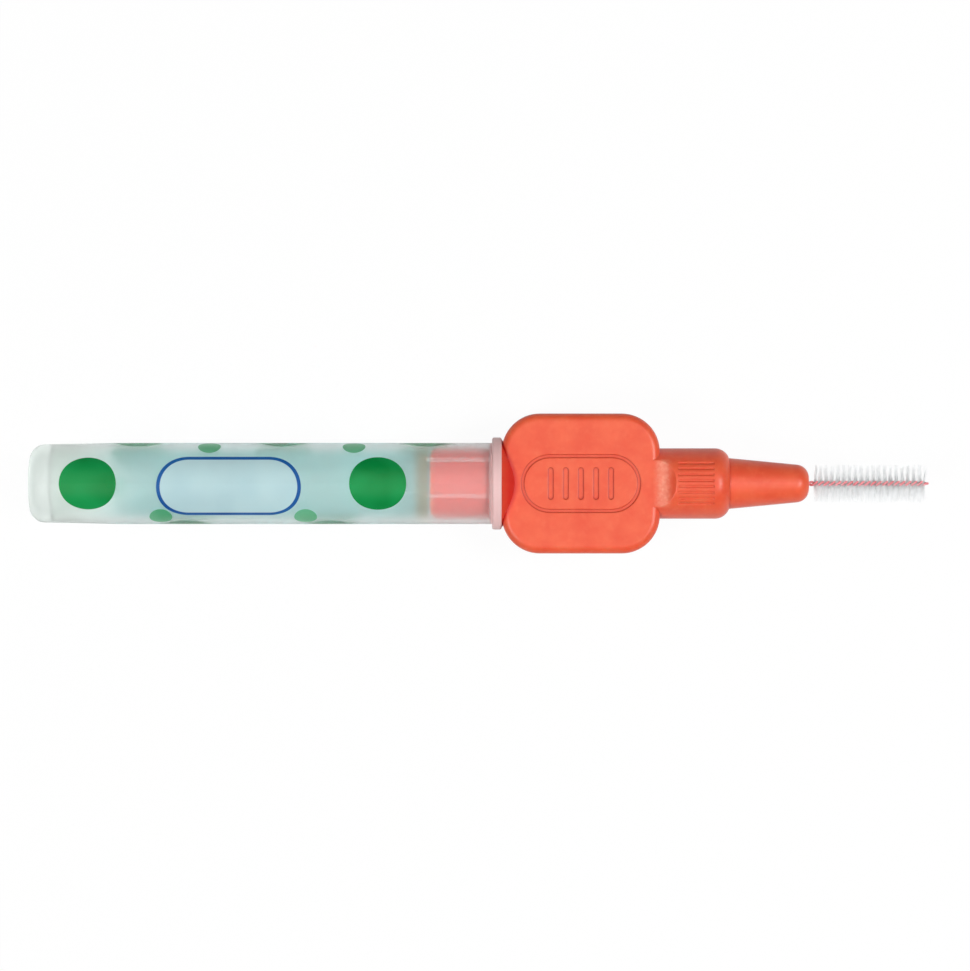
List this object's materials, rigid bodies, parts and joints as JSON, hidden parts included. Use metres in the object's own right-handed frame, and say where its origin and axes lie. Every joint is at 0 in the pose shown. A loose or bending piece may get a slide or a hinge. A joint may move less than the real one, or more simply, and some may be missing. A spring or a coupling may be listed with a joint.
{
  "type": "interdental brush",
  "caption": "Interdental brush: a finger plate with a tapered neck, a twisted coated wire full of fine bristles, and a ribbed tube cap pushed on the rear plug.",
  "frame": {"origin": "below the middle of the object, on the surface that the cap's flange touches", "axes": "+X along the object to the tip of the brush, +Z square out of the finger plate's face, +Y across the plate"},
  "size_m": [0.0898, 0.014, 0.0092],
  "materials": {
    "handle_plastic": "coral moulded polypropylene, satin",
    "cap_plastic": "milky translucent moulded polypropylene with printed discs",
    "wire_steel": "drawn stainless wire",
    "wire_coating": "smooth crimson plastic coating",
    "bristle_nylon": "clear white nylon filament"
  },
  "bodies": {
    "handle": {"handle": "handle_plastic", "core_anchor": "wire_steel", "coating_anchor": "wire_coating"},
    "head": {"core_wire": "wire_steel", "wire_coating": "wire_coating", "bristle_tuft_01": "bristle_nylon", "bristle_tuft_02": "bristle_nylon", "bristle_tuft_03": "bristle_nylon", "bristle_tuft_04": "bristle_nylon", "bristle_tuft_05": "bristle_nylon", "bristle_tuft_06": "bristle_nylon", "bristle_tuft_07": "bristle_nylon", "bristle_tuft_08": "bristle_nylon", "bristle_tuft_09": "bristle_nylon", "bristle_tuft_10": "bristle_nylon", "bristle_tuft_11": "bristle_nylon", "bristle_tuft_12": "bristle_nylon", "bristle_tuft_13": "bristle_nylon", "bristle_tuft_14": "bristle_nylon", "bristle_tuft_15": "bristle_nylon", "bristle_tuft_16": "bristle_nylon", "bristle_tuft_17": "bristle_nylon", "bristle_tuft_18": "bristle_nylon", "bristle_tuft_19": "bristle_nylon"},
    "cap": {"cap": "cap_plastic"}
  },
  "joints": [
    {"name": "cap_slide", "type": "slide", "parent": "handle", "child": "cap", "axis": [-1, 0, 0], "range_m": [0, 0.012]},
    {"name": "neck_bend", "type": "hinge", "parent": "handle", "child": "head", "pos_m": [0.03314, 0, 0.0046], "axis": [0, 0, 1], "range_deg": [-30, 30]}
  ]
}
